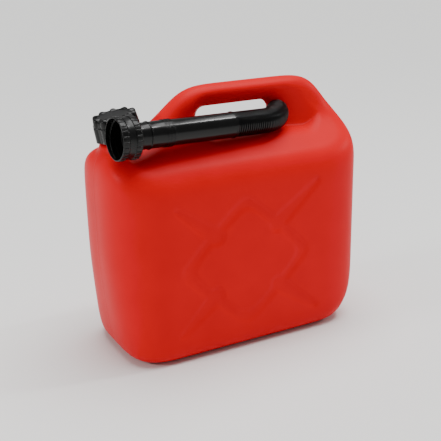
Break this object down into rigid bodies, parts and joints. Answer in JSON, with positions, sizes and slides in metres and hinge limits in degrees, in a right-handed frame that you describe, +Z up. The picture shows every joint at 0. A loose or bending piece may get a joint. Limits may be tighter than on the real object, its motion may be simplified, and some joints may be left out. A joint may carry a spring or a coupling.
{
  "type": "jerry can",
  "caption": "Plastic fuel jerry can with a flared carry handle, a press-and-turn filler cap and a flexible pouring spout stored along the handle.",
  "frame": {"origin": "under the middle of the can, on the surface it stands on", "axes": "+X along the can away from the filler neck, -Y the side the spout lies on, +Z up"},
  "size_m": [0.331, 0.153, 0.308],
  "materials": {
    "red_hdpe": "blow-moulded, semi-matte",
    "black_cap_plastic": "injection-moulded, semi-gloss",
    "black_spout_plastic": "extruded and moulded, semi-gloss",
    "seal_rubber": "moulded rubber"
  },
  "bodies": {
    "can": {"canister": "red_hdpe"},
    "cap_seal": {"filler_cap_seal": "seal_rubber"},
    "screw_cap": {"filler_cap_screw": "black_cap_plastic"},
    "cap_shell": {"filler_cap_shell": "black_cap_plastic"},
    "spout": {"spout_tube": "black_spout_plastic", "spout_bellows": "black_spout_plastic", "spout_seal": "seal_rubber"},
    "nut": {"spout_nut": "black_spout_plastic"},
    "fold_1": {"spout_fold_1": "black_spout_plastic"},
    "fold_2": {"spout_fold_2": "black_spout_plastic"},
    "fold_3": {"spout_fold_3": "black_spout_plastic"},
    "fold_4": {"spout_fold_4": "black_spout_plastic"},
    "nozzle": {"spout_nozzle": "black_spout_plastic"}
  },
  "joints": [
    {"name": "cap_rise", "type": "slide", "parent": "can", "child": "cap_seal", "axis": [-0.1736, 0, 0.9848], "range_m": [0, 0.0241]},
    {"name": "cap_turn", "type": "hinge", "parent": "cap_seal", "child": "screw_cap", "pos_m": [-0.1295, 0, 0.25101], "axis": [-0.1736, 0, 0.9848], "range_deg": [0, 720]},
    {"name": "cap_press", "type": "slide", "parent": "screw_cap", "child": "cap_shell", "axis": [0.1736, 0, -0.9848], "range_m": [0, 0.002], "stiffness_N_per_m": 500, "springref_m": -0.002},
    {"name": "spout_pull", "type": "slide", "parent": "can", "child": "spout", "axis": [0, -1, 0], "range_m": [0, 0.15]},
    {"name": "nut_spin", "type": "hinge", "parent": "spout", "child": "nut", "pos_m": [-0.145, -0.0515, 0.2698], "axis": [0.9974, 0.0674, -0.027], "continuous": true},
    {"name": "bend_1", "type": "hinge", "parent": "spout", "child": "fold_1", "pos_m": [0.03343, -0.05393, 0.26232], "axis": [-0.0387, 0.18, -0.9829], "range_deg": [0, 6.51]},
    {"name": "bend_2", "type": "hinge", "parent": "fold_1", "child": "fold_2", "pos_m": [0.04517, -0.05181, 0.26225], "axis": [-0.0387, 0.18, -0.9829], "range_deg": [0, 13.01]},
    {"name": "bend_3", "type": "hinge", "parent": "fold_2", "child": "fold_3", "pos_m": [0.05615, -0.04714, 0.26267], "axis": [-0.0387, 0.18, -0.9829], "range_deg": [0, 13.01]},
    {"name": "bend_4", "type": "hinge", "parent": "fold_3", "child": "fold_4", "pos_m": [0.06579, -0.04017, 0.26357], "axis": [-0.0387, 0.18, -0.9829], "range_deg": [0, 13.01]},
    {"name": "bend_5", "type": "hinge", "parent": "fold_4", "child": "nozzle", "pos_m": [0.07361, -0.03126, 0.26489], "axis": [-0.0387, 0.18, -0.9829], "range_deg": [0, 6.51]}
  ],
  "couplings": [
    {"joint": "cap_rise", "follows": "cap_turn", "m_per_rad": 0.0019099},
    {"joint": "bend_1", "follows": "spout_pull", "rad_per_m": 0.75631},
    {"joint": "bend_2", "follows": "spout_pull", "rad_per_m": 1.5126},
    {"joint": "bend_3", "follows": "spout_pull", "rad_per_m": 1.5126},
    {"joint": "bend_4", "follows": "spout_pull", "rad_per_m": 1.5126},
    {"joint": "bend_5", "follows": "spout_pull", "rad_per_m": 0.75631}
  ]
}
